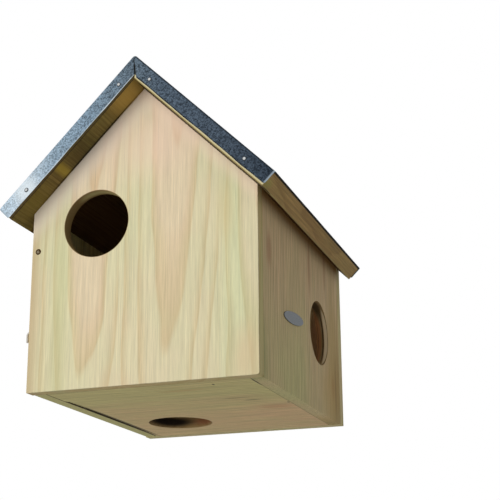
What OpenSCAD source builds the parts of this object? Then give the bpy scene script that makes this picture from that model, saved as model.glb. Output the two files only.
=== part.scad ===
// Squirrel nest box: a gabled box of pine boards under a folded sheet roof, with a side that swings out.
// X runs across the front, Y from the front to the back and Z up. All sizes are in millimetres.

/* [Box] */
// Width across the front panel
box_w = 275; // [250:1:400]
// Depth from the face of the front panel to the face of the back panel
box_d = 340; // [260:1:500]
// Height of the side walls at their outer faces
wall_h = 212; // [190:1:350]
// Thickness of the wall and floor boards
board_t = 15; // [12:0.5:22]

/* [Roof boards] */
// Slope of each side of the roof, in degrees
roof_pitch = 45; // [40:1:50]
// Thickness of the roof boards
roof_t = 20; // [14:0.5:25]
// Roof boards past the face of the front panel
front_overhang = 28; // [12:1:60]
// Roof boards past the side walls, measured along the slope
eave_overhang = 20; // [15:1:60]

/* [Roof cover] */
// Thickness of the galvanised sheet
sheet_t = 0.6; // [0.4:0.1:1.2]
// Space between the sheet and the boards that it lies on
sheet_gap = 0.2; // [0.1:0.05:0.5]
// Sheet past the lower ends of the roof boards
sheet_past_eave = 1; // [0:0.5:5]
// Inner radius of the fold along the ridge
ridge_fold_r = 3; // [2:0.5:6]
// Wood left bare below the folded front and back edges
edge_bare = 2.7; // [0.3:0.1:5]
// Width of the open mitre between the folded edges, at its lower end
mitre_gap = 2.6; // [1:0.1:6]
// How far the open mitre leans to the right from its top to its lower end
mitre_lean = 3; // [0:0.5:5]
// Radius of the lower corners of the folded edges
edge_corner_r = 2; // [0.5:0.5:4]

/* [Holes] */
// Diameter of the three ways in and out
hole_d = 80; // [50:1:90]
// Front hole: how far its centre lies left of the middle
front_hole_left = 57; // [0:1:60]
// Front hole: height of its centre
front_hole_h = 191; // [100:1:200]
// Side hole: distance of its centre from the face of the back panel
side_hole_from_back = 106; // [85:1:180]
// Side hole: height of its centre
side_hole_h = 100; // [75:1:120]
// Floor hole: distance of its centre from the face of the back panel
floor_hole_from_back = 102; // [85:1:180]
// Floor hole: how far its centre lies left of the middle
floor_hole_left = 50; // [0:1:60]
// Diameter of the two fixing holes in the back panel
fixing_hole_d = 5; // [4:0.5:8]
// Height of the lower fixing hole
fixing_low_h = 70; // [50:1:100]
// Distance between the fixing holes
fixing_spacing = 160; // [60:1:200]

/* [Swing-out side] */
// Height of the pivot line
pivot_h = 165; // [140:1:170]
// Space between each end of the side and the panel beside it
door_end_gap = 0.8; // [0.5:0.1:3]
// Space between the side and the floor
door_floor_gap = 4.5; // [1:0.1:6]
// Space under the side
door_foot_gap = 1; // [0.5:0.1:3]
// Space between the top of the side and the roof, at its outer face
door_top_gap = 3; // [2:0.5:8]

/* [Latch hook] */
// Diameter of the hook's wire
hook_wire_d = 2.8; // [2:0.1:4]
// Height of the hook's shank
hook_h = 71; // [40:1:120]
// Length of the shank in the front panel's edge
hook_grip = 18; // [10:1:30]
// Distance from the panel's edge to the middle of the arm
hook_reach = 5.5; // [5:0.1:10]
// Length of the arm from the middle of the shank
hook_arm = 11; // [11:0.5:20]
// Radius of the bend, at the middle of the wire
hook_bend_r = 2.5; // [2.2:0.1:4]

/* [Fasteners] */
// Diameter of the pivot screws' plain shanks
screw_d = 4; // [3:0.5:5]
// Diameter of the pivot screws' countersunk heads
screw_head_d = 7; // [6:0.5:10]
// Length of the pivot screws
screw_len = 35; // [28:1:60]
// Diameter of the panel pins
pin_d = 1.6; // [1.2:0.1:2.5]
// Diameter of the pins' heads
pin_head_d = 2.4; // [2.2:0.1:4]
// Length of the pins that join the boards
pin_len = 38; // [30:1:50]
// Depth that the pins' heads are sunk below the surface
pin_sink = 0.3; // [0.1:0.1:1]
// Diameter of the cover nails' shanks
nail_d = 2; // [1.5:0.1:3]
// Diameter of the cover nails' domed heads
nail_head_d = 4.6; // [4:0.1:8]
// Height of the cover nails' heads
nail_head_h = 0.9; // [0.5:0.1:2]
// Length of the cover nails
nail_len = 20; // [12:1:40]
// Distance of the cover nails from the ridge and from the eave, along the slope
nail_inset = 37; // [20:1:40]

/* [Hidden] */

// Radial play between a fastener and its hole
play = 0.05;
// Space behind the cover nails' heads, up to the plane of the box's back
back_clearance = 0.3;
// Cutting tools reach this far past the faces that they cut
past = 1;
// Cutting tools in a blind hole reach this far past the fastener's point
point_room = 0.5;
round_fn = 64;
small_fn = 24;

pine = "#cdb48c";
pine_shaded = "#8c7350";
sheet_colour = "#5f7490";
steel = "#9a9a9c";

// The box
wood_w = box_w / 2;
inner_w = wood_w - board_t;
peak_h = wall_h + wood_w * tan(roof_pitch);
front_reach = front_overhang + sheet_gap + sheet_t + nail_head_h;
front_y = (front_reach - box_d) / 2;
back_y = front_y + box_d;
mid_y = (front_y + back_y) / 2;
door_x = board_t / 2 - wood_w;

// The roof boards, in the slope's own frame: its origin is the boards' outer ridge, X runs down the slope
apex_h = peak_h + roof_t / cos(roof_pitch);
under_ridge = roof_t * tan(roof_pitch);
eave_u = under_ridge + wood_w / cos(roof_pitch) + eave_overhang;
verge_y = front_y - front_overhang;
rear_y = back_y - back_clearance - sheet_gap - sheet_t - nail_head_h;
fold_u = (ridge_fold_r - sheet_gap) * tan(roof_pitch);
fold_h = apex_h - (ridge_fold_r - sheet_gap) / cos(roof_pitch);
ridge_cut = fold_u * sin(roof_pitch);
// Inner radius of the folds along the front and back edges, which has to clear the boards' sharp edges
edge_fold_r = 3 * sheet_gap;
edge_drop = roof_t - edge_bare;
mitre_h = apex_h - edge_drop / cos(roof_pitch);
mitre_end = mitre_h - mitre_lean - mitre_gap;

// Rows of fasteners
side_pin_h = [wall_h * 0.12, wall_h * 0.5, wall_h * 0.88];
floor_pin_x = [-inner_w * 0.75, 0, inner_w * 0.75];
floor_pin_y = [front_y + box_d * 0.2, mid_y, back_y - box_d * 0.2];
gable_pin_u = [under_ridge + wood_w * 0.35, eave_u - eave_overhang - wood_w * 0.2];
ridge_pin_y = [front_y + box_d * 0.15, mid_y, back_y - box_d * 0.15];
cover_nail_u = [nail_inset, eave_u - nail_inset];

// An arc of points about [x, y], from angle a to angle b
function arc(x, y, r, a, b, steps = 6) =
    [for (k = [0:steps]) [x + r * cos(a + (b - a) * k / steps), y + r * sin(a + (b - a) * k / steps)]];

// The sheet's section along Y: the flat top with both edges folded down by drop
function sheet_section(drop) = let (
    near = verge_y - sheet_gap,
    far = rear_y + sheet_gap,
    c = sheet_gap - edge_fold_r,
    outer = edge_fold_r + sheet_t
) concat(
    [[near - sheet_t, -drop]],
    arc(near + edge_fold_r, c, outer, 180, 90),
    arc(far - edge_fold_r, c, outer, 90, 0),
    [[far + sheet_t, -drop], [far, -drop]],
    arc(far - edge_fold_r, c, edge_fold_r, 0, 90),
    arc(near + edge_fold_r, c, edge_fold_r, 90, 180),
    [[near, -drop]]
);

// Extrudes an outline drawn in X and Z along Y
module along_y(y0, y1)
    translate([0, y1, 0]) rotate([90, 0, 0]) linear_extrude(y1 - y0) children();

// Frames with Z out of a face, at a point on it
module at_front(x, z) translate([x, front_y, z]) rotate([90, 0, 0]) children();
module at_back(x, z) translate([x, back_y, z]) rotate([-90, 0, 0]) children();
module at_right(y, z) translate([wood_w, y, z]) rotate([0, 90, 0]) children();

// The slope's own frame, on the right or mirrored to the left
module on_slope(left = false)
    mirror([left ? 1 : 0, 0, 0]) translate([0, 0, apex_h]) rotate([0, roof_pitch, 0]) children();

// A panel pin driven in along -Z from a face at z = 0, and its hole
module pin() translate([0, 0, -pin_sink]) {
    translate([0, 0, -pin_len]) cylinder(d = pin_d, h = pin_len, $fn = small_fn);
    translate([0, 0, -pin_head_d / 2]) cylinder(d = pin_head_d, h = pin_head_d / 2, $fn = small_fn);
}
module pin_hole() {
    translate([0, 0, -pin_sink - pin_len - point_room])
        cylinder(r = pin_d / 2 + play, h = pin_len + point_room + pin_sink + past, $fn = small_fn);
    translate([0, 0, -pin_sink - pin_head_d / 2 - play])
        cylinder(r = pin_head_d / 2 + play, h = pin_head_d / 2 + play + pin_sink + past, $fn = small_fn);
}

// A cover nail with a domed head, driven in along -Z from the sheet's outer face at z = 0
module cover_nail() {
    translate([0, 0, -nail_len]) cylinder(d = nail_d, h = nail_len + nail_head_h / 2, $fn = small_fn);
    rotate_extrude($fn = small_fn)
        polygon(concat([[0, 0]], [for (a = [0:15:90]) [nail_head_d / 2 * cos(a), nail_head_h * sin(a)]]));
}
module cover_nail_hole()
    translate([0, 0, -nail_len - point_room])
        cylinder(r = nail_d / 2 + play, h = nail_len + point_room + past, $fn = small_fn);

// A countersunk pivot screw driven in along -Z from a face at z = 0, and its hole
module pivot_screw() {
    cone_h = (screw_head_d - screw_d) / 2;
    slot_w = screw_d / 5;
    difference() {
        union() {
            translate([0, 0, -screw_len]) cylinder(d = screw_d, h = screw_len, $fn = round_fn);
            translate([0, 0, -cone_h]) cylinder(d1 = screw_d, d2 = screw_head_d, h = cone_h, $fn = round_fn);
        }
        for (turn = [45, 135]) rotate([0, 0, turn])
            translate([-screw_head_d / 4, -slot_w / 2, -cone_h * 0.8]) cube([screw_head_d / 2, slot_w, cone_h]);
    }
}
module pivot_hole() {
    cone_h = (screw_head_d - screw_d) / 2;
    translate([0, 0, -screw_len - point_room])
        cylinder(r = screw_d / 2 + play, h = screw_len + point_room + past, $fn = round_fn);
    translate([0, 0, -cone_h]) cylinder(d1 = screw_d + 2 * play, d2 = screw_head_d + 2 * play, h = cone_h, $fn = round_fn);
    translate([0, 0, -play]) cylinder(r = screw_head_d / 2 + play, h = play + past, $fn = round_fn);
}

// Places of the fasteners, for the fasteners themselves and for their holes
module at_front_side_pins() for (z = side_pin_h) at_front(wood_w - board_t / 2, z) children();
module at_back_side_pins() for (z = side_pin_h) at_back(wood_w - board_t / 2, z) children();
module at_front_floor_pins() for (x = floor_pin_x) at_front(x, board_t / 2) children();
module at_back_floor_pins() for (x = floor_pin_x) at_back(x, board_t / 2) children();
module at_side_floor_pins() for (y = floor_pin_y) at_right(y, board_t / 2) children();
module at_roof_pins(left) on_slope(left)
    for (u = gable_pin_u, y = [front_y + board_t / 2, back_y - board_t / 2]) translate([u, y, 0]) children();
module at_ridge_pins() on_slope()
    for (y = ridge_pin_y) translate([roof_t / 2, y, 0]) children();
module at_cover_nails_front(left) on_slope(left)
    for (u = cover_nail_u) translate([u, verge_y - sheet_gap - sheet_t, -roof_t / 2]) rotate([90, 0, 0]) children();
module at_cover_nails_back(left) on_slope(left)
    for (u = cover_nail_u) translate([u, rear_y + sheet_gap + sheet_t, -roof_t / 2]) rotate([-90, 0, 0]) children();

// The outline that the front and back panels share
module gable() polygon([[-wood_w, 0], [wood_w, 0], [wood_w, wall_h], [0, peak_h], [-wood_w, wall_h]]);

module front_panel() color(pine) difference() {
    along_y(front_y, front_y + board_t) gable();
    at_front(-front_hole_left, front_hole_h)
        translate([0, 0, -board_t - past]) cylinder(d = hole_d, h = board_t + 2 * past, $fn = round_fn);
    at_front(door_x, pivot_h) pivot_hole();
    at_hook() hook_hole();
    at_front_side_pins() pin_hole();
    at_front_floor_pins() pin_hole();
    at_roof_pins(true) pin_hole();
    at_roof_pins(false) pin_hole();
}

module back_panel() color(pine_shaded) difference() {
    along_y(back_y - board_t, back_y) gable();
    for (z = [fixing_low_h, fixing_low_h + fixing_spacing]) at_back(0, z)
        translate([0, 0, -board_t - past]) cylinder(d = fixing_hole_d, h = board_t + 2 * past, $fn = round_fn);
    at_back(door_x, pivot_h) pivot_hole();
    at_back_side_pins() pin_hole();
    at_back_floor_pins() pin_hole();
    at_roof_pins(true) pin_hole();
    at_roof_pins(false) pin_hole();
}

module right_side_panel() color(pine_shaded) difference() {
    along_y(front_y + board_t, back_y - board_t) polygon([
        [inner_w, 0], [wood_w, 0], [wood_w, wall_h], [inner_w, wall_h + board_t * tan(roof_pitch)]
    ]);
    at_right(back_y - side_hole_from_back, side_hole_h)
        translate([0, 0, -board_t - past]) cylinder(d = hole_d, h = board_t + 2 * past, $fn = round_fn);
    at_front_side_pins() pin_hole();
    at_back_side_pins() pin_hole();
    at_side_floor_pins() pin_hole();
}

module left_side_door() color(pine) difference() {
    translate([-wood_w, front_y + board_t + door_end_gap, door_foot_gap])
        cube([board_t, box_d - 2 * (board_t + door_end_gap), wall_h - door_top_gap - door_foot_gap]);
    at_front(door_x, pivot_h) pivot_hole();
    at_back(door_x, pivot_h) pivot_hole();
}

module floor_panel() color(pine_shaded) difference() {
    translate([-inner_w + door_floor_gap, front_y + board_t, 0])
        cube([2 * inner_w - door_floor_gap, box_d - 2 * board_t, board_t]);
    translate([-floor_hole_left, back_y - floor_hole_from_back, -past])
        cylinder(d = hole_d, h = board_t + 2 * past, $fn = round_fn);
    at_front_floor_pins() pin_hole();
    at_back_floor_pins() pin_hole();
    at_side_floor_pins() pin_hole();
}

// One roof board: a vertical cut at the ridge, its sharp edge planed off under the sheet's fold
module roof_board(left) difference() {
    on_slope(left) along_y(verge_y, rear_y) polygon([
        [fold_u, 0], [eave_u, 0], [eave_u, -roof_t], [under_ridge, -roof_t],
        [ridge_cut * sin(roof_pitch), -ridge_cut * cos(roof_pitch)]
    ]);
    at_roof_pins(left) pin_hole();
    at_ridge_pins() pin_hole();
    at_cover_nails_front(left) cover_nail_hole();
    at_cover_nails_back(left) cover_nail_hole();
}
module roof_board_left() color(pine_shaded) roof_board(true);
module roof_board_right() color(pine) roof_board(false);

// One side of the sheet: its section run down the slope, with the folded edges' lower corners rounded
module sheet_side(left) on_slope(left) difference() {
    translate([fold_u, 0, 0]) rotate([90, 0, 90])
        linear_extrude(eave_u + sheet_past_eave - fold_u) polygon(sheet_section(edge_drop));
    along_y(verge_y - front_reach, back_y + past) difference() {
        translate([eave_u + sheet_past_eave - edge_corner_r, -edge_drop - past])
            square([edge_corner_r + past, edge_corner_r + past]);
        translate([eave_u + sheet_past_eave - edge_corner_r, edge_corner_r - edge_drop])
            circle(r = edge_corner_r, $fn = small_fn);
    }
}

// The sheet: both sides, the fold along the ridge, and the open mitre in the folded edges below it
module roof_cover() color(sheet_colour) difference() {
    union() {
        sheet_side(true);
        sheet_side(false);
        translate([0, 0, fold_h]) rotate([-90, -90 - roof_pitch, 0]) rotate_extrude(angle = 2 * roof_pitch, $fn = round_fn)
            polygon([for (p = sheet_section(ridge_fold_r - sheet_gap)) [p[1] + ridge_fold_r - sheet_gap, p[0]]]);
    }
    along_y(verge_y - front_reach, back_y + past) polygon([
        [-mitre_lean / 2, fold_h],
        [(mitre_lean - mitre_gap) / 2, mitre_h], [(mitre_lean - mitre_gap) / 2, mitre_end],
        [(mitre_lean + mitre_gap) / 2, mitre_end], [(mitre_lean + mitre_gap) / 2, mitre_h]
    ]);
    at_cover_nails_front(true) cover_nail_hole();
    at_cover_nails_front(false) cover_nail_hole();
    at_cover_nails_back(true) cover_nail_hole();
    at_cover_nails_back(false) cover_nail_hole();
}

module pivot_screw_front() color(steel) at_front(door_x, pivot_h) pivot_screw();
module pivot_screw_back() color(steel) at_back(door_x, pivot_h) pivot_screw();

// The hook's own frame: the middle of the shank at the panel's edge, with X into the panel
module at_hook() translate([-wood_w, front_y + board_t / 2, hook_h]) children();
module hook_hole() rotate([0, 90, 0])
    translate([0, 0, -past]) cylinder(r = hook_wire_d / 2 + play, h = hook_grip + point_room + past, $fn = small_fn);
module door_latch_hook() color(steel) at_hook() {
    stub = hook_reach - hook_bend_r;
    rotate([0, 90, 0]) translate([0, 0, -stub]) cylinder(d = hook_wire_d, h = stub + hook_grip, $fn = small_fn);
    translate([-stub, 0, -hook_bend_r]) rotate([90, 0, 0]) rotate([0, 0, 90])
        rotate_extrude(angle = 90, $fn = round_fn) translate([hook_bend_r, 0]) circle(d = hook_wire_d, $fn = small_fn);
    translate([-hook_reach, 0, -hook_arm]) cylinder(d = hook_wire_d, h = hook_arm - hook_bend_r, $fn = small_fn);
}

module front_to_side_pins() color(steel) at_front_side_pins() pin();
module front_to_floor_pins() color(steel) at_front_floor_pins() pin();
module back_to_side_pins() color(steel) at_back_side_pins() pin();
module back_to_floor_pins() color(steel) at_back_floor_pins() pin();
module side_to_floor_pins() color(steel) at_side_floor_pins() pin();
module roof_pins_left() color(steel) at_roof_pins(true) pin();
module roof_pins_right() color(steel) at_roof_pins(false) pin();
module ridge_pins() color(steel) at_ridge_pins() pin();
module cover_nails_front_left() color(steel) at_cover_nails_front(true) cover_nail();
module cover_nails_front_right() color(steel) at_cover_nails_front(false) cover_nail();
module cover_nails_back_left() color(steel) at_cover_nails_back(true) cover_nail();
module cover_nails_back_right() color(steel) at_cover_nails_back(false) cover_nail();

front_panel();
back_panel();
right_side_panel();
left_side_door();
floor_panel();
roof_board_left();
roof_board_right();
roof_cover();
pivot_screw_front();
pivot_screw_back();
door_latch_hook();
front_to_side_pins();
front_to_floor_pins();
back_to_side_pins();
back_to_floor_pins();
side_to_floor_pins();
roof_pins_left();
roof_pins_right();
ridge_pins();
cover_nails_front_left();
cover_nails_front_right();
cover_nails_back_left();
cover_nails_back_right();
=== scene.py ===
"""Squirrel nest box of treated pine under a folded galvanised roof: looks, camera and light.

Everything is in metres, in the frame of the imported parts: X runs across the front, Y from the
front to the back and Z up. The sizes below repeat the part's own.
"""

import math

import bmesh
import bpy
from mathutils import Matrix, Vector


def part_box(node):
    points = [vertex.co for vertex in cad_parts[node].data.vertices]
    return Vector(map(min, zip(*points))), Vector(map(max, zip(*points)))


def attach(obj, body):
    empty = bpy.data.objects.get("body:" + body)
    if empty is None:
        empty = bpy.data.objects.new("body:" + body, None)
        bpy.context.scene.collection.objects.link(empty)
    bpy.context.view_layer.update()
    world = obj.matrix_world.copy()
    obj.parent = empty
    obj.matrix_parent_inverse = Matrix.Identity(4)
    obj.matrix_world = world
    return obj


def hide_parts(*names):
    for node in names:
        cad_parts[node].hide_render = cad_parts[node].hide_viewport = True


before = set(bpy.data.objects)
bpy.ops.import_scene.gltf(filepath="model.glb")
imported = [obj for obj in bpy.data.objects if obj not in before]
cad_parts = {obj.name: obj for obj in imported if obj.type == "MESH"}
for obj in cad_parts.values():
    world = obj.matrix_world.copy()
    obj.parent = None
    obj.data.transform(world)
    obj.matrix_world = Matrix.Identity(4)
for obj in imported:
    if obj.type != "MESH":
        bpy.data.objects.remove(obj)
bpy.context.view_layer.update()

MM = 0.001
X, Y, Z = Vector((1, 0, 0)), Vector((0, 1, 0)), Vector((0, 0, 1))

# The box
HALF_W = 137.5 * MM
BOARD_T = 15 * MM
INNER_W = HALF_W - BOARD_T
WALL_H = 212 * MM
FRONT_Y = -155.15 * MM
BACK_Y = 184.85 * MM
SIDE_FRONT, SIDE_BACK = FRONT_Y + BOARD_T, BACK_Y - BOARD_T
PITCH = math.radians(45)
RISE, RUN = math.sin(PITCH), math.cos(PITCH)     # of each unit of length along the slope
PEAK_H = WALL_H + HALF_W * math.tan(PITCH)

# The roof boards, whose own frame has its origin at their outer ridge
ROOF_T = 20 * MM
VERGE_Y = -183.15 * MM
REAR_Y = 182.85 * MM
ROOF_MIDDLE_Y = (VERGE_Y + REAR_Y) / 2
APEX_H = PEAK_H + ROOF_T / RUN
UNDER_RIDGE = ROOF_T * math.tan(PITCH)
EAVE_U = UNDER_RIDGE + HALF_W / RUN + 20 * MM
# For each half of the roof, the way down its slope and the way out of it
SLOPES = {word: (Vector((hand * RUN, 0, -RISE)), Vector((hand * RISE, 0, RUN)))
          for word, hand in (("left", -1), ("right", 1))}

# The folded sheet
SHEET_T = 0.6 * MM
SHEET_GAP = 0.2 * MM
RIDGE_R = 3 * MM
FOLD_U = (RIDGE_R - SHEET_GAP) * math.tan(PITCH)
SHEET_END = EAVE_U + 1 * MM
EDGE_DROP = 17.3 * MM
MITRE_TOP = -1.5 * MM
MITRE_LOW = {-1: 0.2 * MM, 1: 2.8 * MM}     # left and right
CORNER_R = 2 * MM

# The ways in, and the screws that the left side swings on
HOLE_R = 40 * MM
FRONT_HOLE = (-57 * MM, 191 * MM)
SIDE_HOLE = (78.85 * MM, 100 * MM)
FLOOR_HOLE = (-50 * MM, 82.85 * MM)
FIXING_HOLES = [(0, 70 * MM), (0, 230 * MM)]
FIXING_R = 2.5 * MM
PIVOT = (-130 * MM, 165 * MM)
PIVOT_R, PIVOT_HEAD_R, PIVOT_LEN = 2.05 * MM, 3.55 * MM, 36 * MM
HOOK_H, HOOK_R, HOOK_GRIP = 71 * MM, 1.45 * MM, 19 * MM

# The nails in the folded edges
NAIL_U = (37 * MM, EAVE_U - 37 * MM)
NAIL_HEAD_R = 2.3 * MM
NAIL_HEAD_H = 0.9 * MM
NAIL_SHANK_R = 1 * MM
NAIL_LEN = 20 * MM


def nail_place(word, u, y):
    """Where a nail sits on a half of the roof: this far down its slope, halfway down the board's end."""
    down, out = SLOPES[word]
    return Vector((0, y, APEX_H)) + down * u - out * (ROOF_T / 2)


# Colours and nodes

# Short names for the kinds of node that are used often
MATH, VECTOR_MATH, RANGE = "ShaderNodeMath", "ShaderNodeVectorMath", "ShaderNodeMapRange"
MIX, RAMP, MAPPING = "ShaderNodeMix", "ShaderNodeValToRGB", "ShaderNodeMapping"
NOISE, CELLS = "ShaderNodeTexNoise", "ShaderNodeTexVoronoi"
SPLIT, JOIN, SPLIT_COLOUR = "ShaderNodeSeparateXYZ", "ShaderNodeCombineXYZ", "ShaderNodeSeparateColor"


def shade(hex_code):
    """An sRGB hex colour as the linear colour that Blender works with."""
    parts = [int(hex_code[i:i + 2], 16) / 255 for i in (1, 3, 5)]
    return [c / 12.92 if c <= 0.04045 else ((c + 0.055) / 1.055) ** 2.4 for c in parts] + [1.0]


def first_out(node):
    """A node's first output that is in use."""
    return next(s for s in node.outputs if s.enabled)


def add(tree, kind, *values, named=None, stops=(), **settings):
    """Adds a node. Values go to its inputs in order and named ones by socket name, and a node stands for
    its first output. stops are the (position, hex colour) pairs of a colour ramp."""
    made = tree.nodes.new(kind)
    for key, value in settings.items():
        setattr(made, key, value)
    sockets = [s for s in made.inputs if s.enabled]
    by_name = {s.name: s for s in reversed(sockets)}
    for socket, value in [*zip(sockets, values), *((by_name[k], v) for k, v in (named or {}).items())]:
        if value is None:
            continue
        if isinstance(value, bpy.types.Node):
            value = first_out(value)
        if isinstance(value, bpy.types.NodeSocket):
            tree.links.new(value, socket)
        else:
            socket.default_value = value
    if stops:
        elements = made.color_ramp.elements
        while len(elements) < len(stops):
            elements.new(0.5)
        for element, (position, hex_code) in zip(elements, stops):
            element.position = position
            element.color = shade(hex_code)
    return made


def emptied(owner):
    """The node tree of a material or a world, with nothing in it yet."""
    owner.use_nodes = True
    owner.node_tree.nodes.clear()
    return owner.node_tree


def new_material(name):
    """An empty material and its tree, with the shader and its output in place."""
    made = bpy.data.materials.new(name)
    tree = emptied(made)
    shader = add(tree, "ShaderNodeBsdfPrincipled")
    add(tree, "ShaderNodeOutputMaterial", shader)
    return made, tree, shader


def in_mm(tree, origin=(0, 0, 0), axes=Matrix.Identity(3)):
    """Where a point of the piece lies from this origin and along these axes, in mm."""
    coords = add(tree, "ShaderNodeTexCoord").outputs["Object"]
    return add(tree, MAPPING, coords, named={
        "Location": -1000 * (axes @ Vector(origin)), "Rotation": axes.to_euler(), "Scale": (1000,) * 3})


def finish_shader(tree, shader, colour, rough, bump=None, **constants):
    """Links the colour, the roughness and the relief to the shader and sets its other values."""
    tree.links.new(first_out(colour), shader.inputs["Base Color"])
    tree.links.new(first_out(rough), shader.inputs["Roughness"])
    if bump:
        tree.links.new(first_out(bump), shader.inputs["Normal"])
    for name, value in constants.items():
        shader.inputs[name.replace("_", " ")].default_value = value


# Materials

ENDLESS = 1e6


def stepped(tree, position, starts, values, soft=0.1):
    """A value that changes at each of these starts but the first, over this many mm on both sides of it."""
    value = values[0]
    for edge, before, after in zip(starts[1:], values, values[1:]):
        past = add(tree, RANGE, position, edge - soft, edge + soft, 0.0, 1.0, interpolation_type="SMOOTHSTEP")
        value = add(tree, MATH, past, after - before, value, operation="MULTIPLY_ADD")
    return value


def stretched(tree, place, across, along, seed, **settings):
    """Noise whose grains are this many mm wide across and along the wood."""
    spot = add(tree, MAPPING, place, named={
        "Scale": (1 / across, 1 / across, 1 / along), "Location": (seed, seed, seed)})
    return add(tree, NOISE, spot, named={"Scale": 1.0, **settings})


def stained(tree, place, colour, marks):
    """Lays marks over a colour. A mark is (middle, half sizes with None for endless, hex colour, strength,
    soft part of the edge), and for one that lies aslant its angle."""
    for middle, sizes, hex_code, strength, soft, *slant in marks:
        near = add(tree, MAPPING, place, vector_type="TEXTURE", named={
            "Location": middle, "Rotation": (0, *(slant or [0]), 0),
            "Scale": [size or ENDLESS for size in sizes]})
        near = add(tree, VECTOR_MATH, near, operation="LENGTH").outputs["Value"]
        near = add(tree, RANGE, near, 1.0 - soft, 1.0, strength, 0.0, interpolation_type="SMOOTHSTEP")
        colour = add(tree, MIX, near, named={"A": colour, "B": shade(hex_code)}, data_type="RGBA")
    return colour


WANDER_MM = 10.0     # how far the tree's middle wanders to each side


def pine(name, origin, across, along, tints, strips, ring_mm, contrast, taper=-0.07, lean=0.0,
         greener=(0.0, 0.0), heart=None, edges=None, marks=(), seed=0.0):
    """Pine, pressure treated: growth rings cut through in the solid, so that faces show arches and ends show
    arcs, with soft pink and green bands and fine fibres along the grain.
    The board's own coordinates start at origin, on its outer face: across it, into it and along its grain,
    in mm. tints are the (spring wood, summer wood) colours where it is warm and where it is green. Each of
    the strips that a panel is glued from is (where it starts, where the tree's middle lies across it, how
    deep that lies, how green it is). taper is how that depth changes along the grain, lean how the tree's
    middle moves across along it, and greener how the green changes across and along it. heart is (how far
    the pink heartwood reaches from the tree's middle, how pink it is). edges is the tint of all that lies
    deeper than the outer face: painted light, warmer and a little dimmer, as the light on those faces is."""
    made, tree, shader = new_material(name)
    place = in_mm(tree, origin, Matrix((across, Vector(along).cross(across), along)))
    a, d, l = add(tree, SPLIT, place).outputs

    # Distance from the tree's middle, which wanders because no tree grows straight
    wander = stretched(tree, place, 90, 260, seed, Detail=2.0, Roughness=0.45)
    wander = add(tree, MATH, wander, 2 * WANDER_MM, -WANDER_MM, operation="MULTIPLY_ADD")
    waver = stretched(tree, place, 26, 150, seed + 5.3, Detail=2.0)
    wander = add(tree, MATH, waver, 0.7 * WANDER_MM, wander, operation="MULTIPLY_ADD")
    starts, middles, depths, greens = zip(*strips)
    sideways = add(tree, MATH, a, stepped(tree, a, starts, middles), operation="SUBTRACT")
    sideways = add(tree, MATH, l, -lean, sideways, operation="MULTIPLY_ADD")
    depth = add(tree, MATH, d, stepped(tree, a, starts, depths), operation="ADD")
    depth = add(tree, MATH, l, taper, depth, operation="MULTIPLY_ADD")
    radius = add(tree, MATH, add(tree, MATH, sideways, sideways, operation="MULTIPLY"),
                 add(tree, MATH, depth, depth, operation="MULTIPLY"), operation="ADD")
    radius = add(tree, MATH, add(tree, MATH, radius, operation="SQRT"), wander, operation="ADD")

    # Rings differ in width, and turn slowly from pale spring wood to summer wood and back at once
    years = add(tree, NOISE, None, radius, named={"Scale": 0.045, "Detail": 1.0}, noise_dimensions="1D")
    ring = add(tree, MATH, radius, 1.0 / ring_mm, operation="MULTIPLY")
    ring = add(tree, MATH, years, 2.4, ring, operation="MULTIPLY_ADD")
    ring = add(tree, MATH, ring, operation="FRACT")
    late = add(tree, RAMP, ring, stops=[
        (0.0, "#303030"), (0.12, "#000000"), (0.5, "#404040"), (0.84, "#c8c8c8"), (0.92, "#d8d8d8"),
        (1.0, "#303030")])

    # The treatment soaks in unevenly, along with the rings, and leaves pinker and greener bands
    bands = add(tree, NOISE, None, radius, named={"Scale": 0.085, "Detail": 2.0}, noise_dimensions="1D")
    cloud = stretched(tree, place, 80, 170, seed * 3 + 1.7, Detail=3.0, Roughness=0.55)
    drift = stepped(tree, a, starts, greens, soft=12.0)
    for cause, share in ((a, greener[0]), (l, greener[1]), (bands, 3.0), (cloud, 1.8)):
        drift = add(tree, MATH, cause, share, drift, operation="MULTIPLY_ADD")
    if heart:
        pinker = add(tree, RANGE, radius, heart[0] - 3, heart[0] + 3, -heart[1], 0.0)
        drift = add(tree, MATH, drift, pinker, operation="ADD")
    drift = add(tree, MATH, drift, 1.9, operation="SUBTRACT", use_clamp=True)
    warm_wood, green_wood = (
        add(tree, MIX, late, named={"A": shade(spring), "B": shade(summer)}, data_type="RGBA")
        for spring, summer in tints)
    wood = add(tree, MIX, drift, named={"A": warm_wood, "B": green_wood}, data_type="RGBA")

    # Streaks of several fibres, fibres about 1 mm wide and 60 mm long, drawn coarse so that they show, and
    # finer ones
    streak = stretched(tree, place, 3.6, 110, seed + 2.1, Detail=3.0, Roughness=0.6)
    fibre = stretched(tree, place, 1.2, 70, seed, Detail=4.0, Roughness=0.65)
    fine = stretched(tree, place, 0.35, 16, seed, Detail=2.0)
    for noise, darker, lighter in ((streak, 0.08, 0.05), (fibre, 0.11, 0.07), (fine, 0.05, 0.04)):
        level = add(tree, RANGE, noise, 0.3, 0.7, 1 - darker * contrast, 1 + lighter * contrast)
        wood = add(tree, MIX, 1.0, named={"A": wood, "B": level}, data_type="RGBA", blend_type="MULTIPLY")
    # Painted light on the faces deeper than the outer one: warmer and a little dimmer
    if edges:
        inside = add(tree, RANGE, d, 0.5, 1.2, 0.0, 1.0)
        wood = add(tree, MIX, inside, named={"A": wood, "B": shade(edges)}, data_type="RGBA",
                   blend_type="MULTIPLY")
    wood = stained(tree, place, wood, marks)

    relief = add(tree, MATH, late, 0.5, fibre, operation="MULTIPLY_ADD")
    bump = add(tree, "ShaderNodeBump", named={"Strength": 0.5, "Distance": 0.12 * MM, "Height": relief})
    rough = add(tree, RANGE, fibre, 0.3, 0.7, 0.72, 0.6)
    finish_shader(tree, shader, wood, rough, bump, Specular_IOR_Level=0.14)
    return made


SHEET_REACH_MM = 165.0     # about where the sheet ends at each eave


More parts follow.
